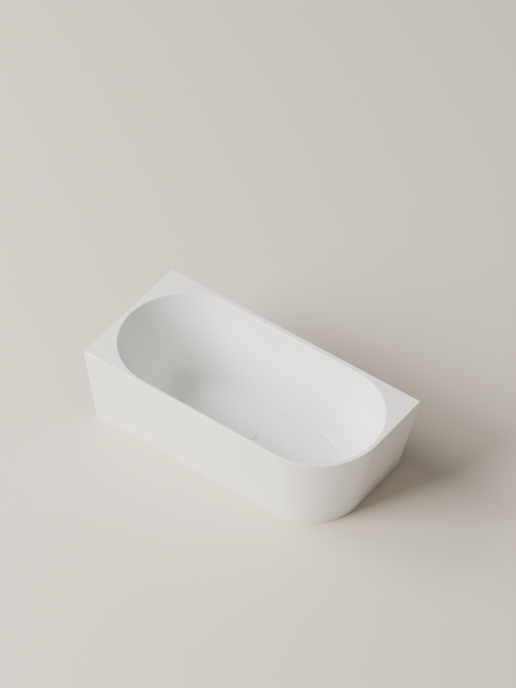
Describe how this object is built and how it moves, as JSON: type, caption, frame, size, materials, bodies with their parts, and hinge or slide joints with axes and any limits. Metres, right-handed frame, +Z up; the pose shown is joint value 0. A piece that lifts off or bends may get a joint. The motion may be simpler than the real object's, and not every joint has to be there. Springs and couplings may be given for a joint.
{
  "type": "corner bathtub",
  "caption": "Acrylic corner bath with one rounded outer corner, leaning front panel, flat deck, oval basin, push plug, drum trap and steel underframe on adjustable feet.",
  "frame": {"origin": "on the floor, under the middle of the overall box", "axes": "+X runs to the right along the back wall, seen from the open front; +Y runs towards the back wall; +Z is up"},
  "size_m": [1.7, 0.795, 0.585],
  "materials": {
    "white_acrylic": "glossy cast acrylic sheet",
    "glass_fibre_backing": "rough glass fibre laminate",
    "plywood": "raw birch plywood",
    "softwood": "planed spruce",
    "galvanised_steel": "galvanised",
    "zinc_plated_steel": "bright zinc plate",
    "stainless_steel": "plain stainless",
    "black_polypropylene": "moulded, fine grain",
    "black_rubber": "smooth",
    "chromed_brass": "polished chrome plate",
    "plain_brass": "turned",
    "white_cover": "glossy white",
    "grey_acetal": "smooth moulding",
    "white_polypropylene": "smooth moulding",
    "grey_hose": "smooth soft plastic"
  },
  "bodies": {
    "bath": {"basin_shell": "white_acrylic", "basin_laminate": "glass_fibre_backing", "base_board": "plywood", "apron_shell": "white_acrylic", "apron_laminate": "glass_fibre_backing", "front_foot_batten": "softwood", "end_foot_batten": "softwood", "back_rim_batten": "softwood", "left_rim_batten": "softwood", "rear_rail": "galvanised_steel", "left_rail": "galvanised_steel", "cross_bar_left": "galvanised_steel", "cross_bar_right": "galvanised_steel", "post_back_left": "galvanised_steel", "post_front_left": "galvanised_steel", "post_back_right": "galvanised_steel", "post_pads": "black_rubber", "bar_end_caps": "black_polypropylene", "foot_nuts": "zinc_plated_steel", "foot_lock_nuts": "zinc_plated_steel", "wall_brackets": "galvanised_steel", "bracket_screws": "zinc_plated_steel", "board_screws": "zinc_plated_steel", "waste_flange": "chromed_brass", "waste_upper_gasket": "black_rubber", "waste_lower_gasket": "black_rubber", "click_cartridge": "grey_acetal", "waste_body": "white_polypropylene", "trap_dip_tube": "white_polypropylene", "trap_gasket": "black_rubber", "trap_union_nut": "white_polypropylene", "overflow_trim": "white_cover", "overflow_screws": "stainless_steel", "overflow_gasket": "black_rubber", "overflow_channel": "white_polypropylene", "overflow_hose": "grey_hose", "hose_clamps": "stainless_steel"},
    "plug": {"plug_cover": "white_cover", "plug_seal": "black_rubber", "plug_stem": "plain_brass"},
    "trap": {"trap_drum": "white_polypropylene", "outlet_nut": "white_polypropylene", "outlet_pipe": "white_polypropylene"},
    "foot_1": {"foot_spindle_1": "zinc_plated_steel", "foot_pad_1": "black_polypropylene"},
    "foot_2": {"foot_spindle_2": "zinc_plated_steel", "foot_pad_2": "black_polypropylene"},
    "foot_3": {"foot_spindle_3": "zinc_plated_steel", "foot_pad_3": "black_polypropylene"},
    "foot_4": {"foot_spindle_4": "zinc_plated_steel", "foot_pad_4": "black_polypropylene"},
    "foot_5": {"foot_spindle_5": "zinc_plated_steel", "foot_pad_5": "black_polypropylene"},
    "foot_6": {"foot_spindle_6": "zinc_plated_steel", "foot_pad_6": "black_polypropylene"},
    "foot_7": {"foot_spindle_7": "zinc_plated_steel", "foot_pad_7": "black_polypropylene"}
  },
  "joints": [
    {"name": "plug_slide", "type": "slide", "parent": "bath", "child": "plug", "axis": [0, 0, 1], "range_m": [0, 0.009]},
    {"name": "trap_swivel", "type": "hinge", "parent": "bath", "child": "trap", "pos_m": [0, -0.005, 0.03], "axis": [0, 0, 1], "continuous": true},
    {"name": "foot_1_slide", "type": "slide", "parent": "bath", "child": "foot_1", "axis": [0, 0, -1], "range_m": [0, 0.02]},
    {"name": "foot_2_slide", "type": "slide", "parent": "bath", "child": "foot_2", "axis": [0, 0, -1], "range_m": [0, 0.02]},
    {"name": "foot_3_slide", "type": "slide", "parent": "bath", "child": "foot_3", "axis": [0, 0, -1], "range_m": [0, 0.02]},
    {"name": "foot_4_slide", "type": "slide", "parent": "bath", "child": "foot_4", "axis": [0, 0, -1], "range_m": [0, 0.02]},
    {"name": "foot_5_slide", "type": "slide", "parent": "bath", "child": "foot_5", "axis": [0, 0, -1], "range_m": [0, 0.02]},
    {"name": "foot_6_slide", "type": "slide", "parent": "bath", "child": "foot_6", "axis": [0, 0, -1], "range_m": [0, 0.02]},
    {"name": "foot_7_slide", "type": "slide", "parent": "bath", "child": "foot_7", "axis": [0, 0, -1], "range_m": [0, 0.02]}
  ]
}
